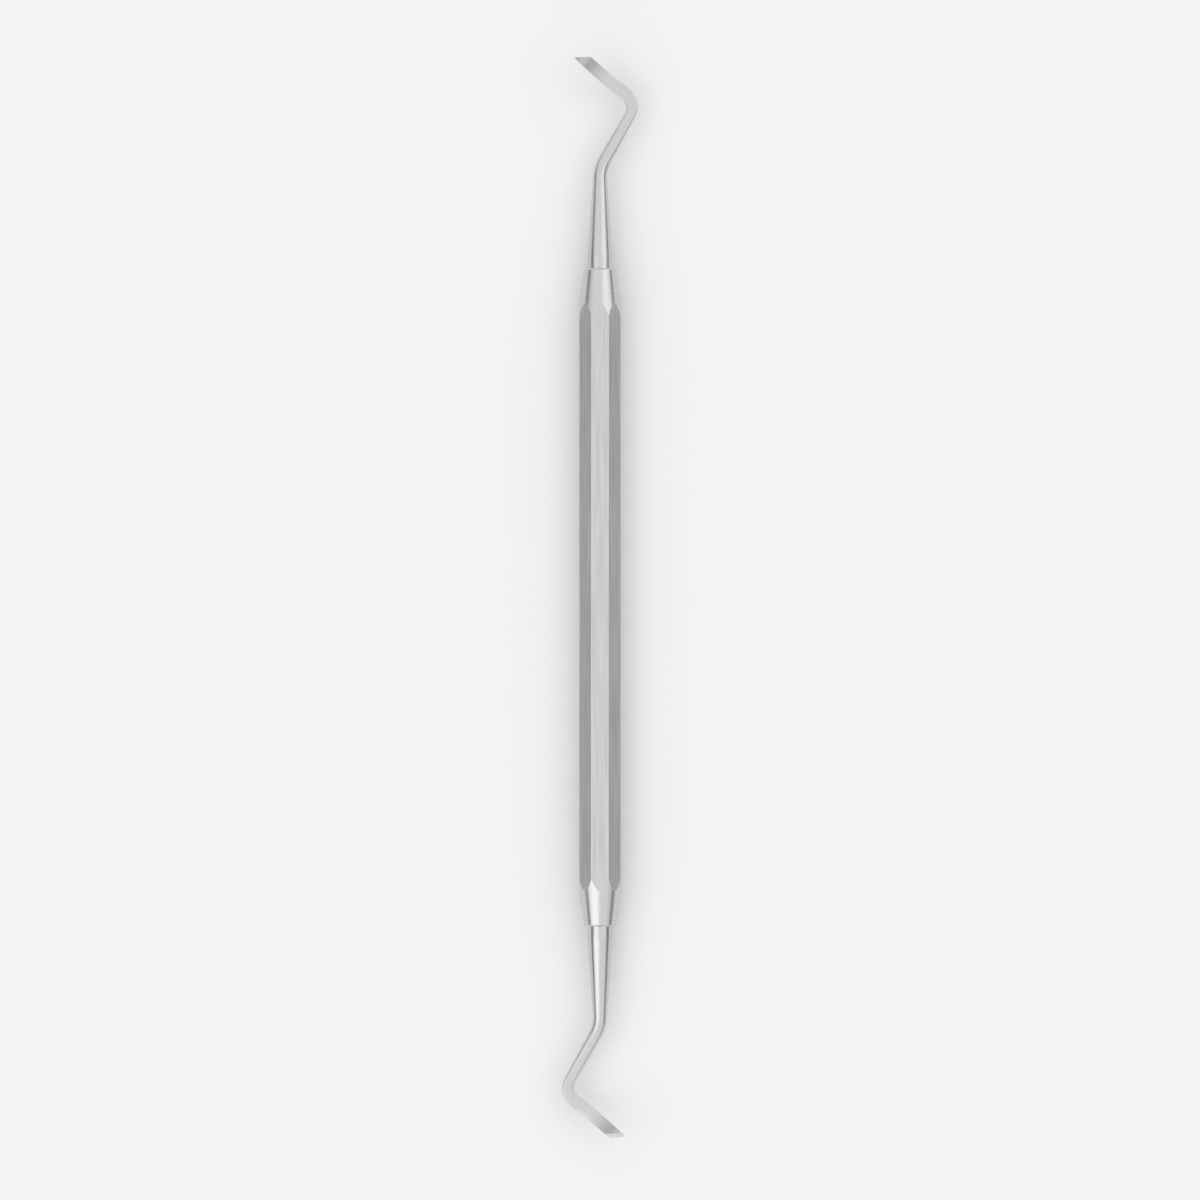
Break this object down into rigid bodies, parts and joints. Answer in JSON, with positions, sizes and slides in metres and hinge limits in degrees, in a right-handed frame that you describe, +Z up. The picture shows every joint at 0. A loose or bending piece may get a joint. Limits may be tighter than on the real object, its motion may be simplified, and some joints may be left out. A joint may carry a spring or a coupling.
{
  "type": "double-ended composite instrument",
  "caption": "Hand instrument with an octagonal steel handle and, at either end, a bent shank that carries a curved flat blade cut off at a slant.",
  "frame": {"origin": "on the surface that the handle rests on, below the middle of the instrument", "axes": "+Y along the handle towards the end with the upright cut, +Z up towards the hollow side of the blades, +X to the right when seen from above"},
  "size_m": [0.0114, 0.1641, 0.0094],
  "materials": {
    "satin_steel": "satin, drawn along the handle",
    "polished_steel": "fine satin polish"
  },
  "bodies": {
    "root": {"handle": "satin_steel", "upper_working_end": "polished_steel", "lower_working_end": "polished_steel"}
  },
  "joints": []
}
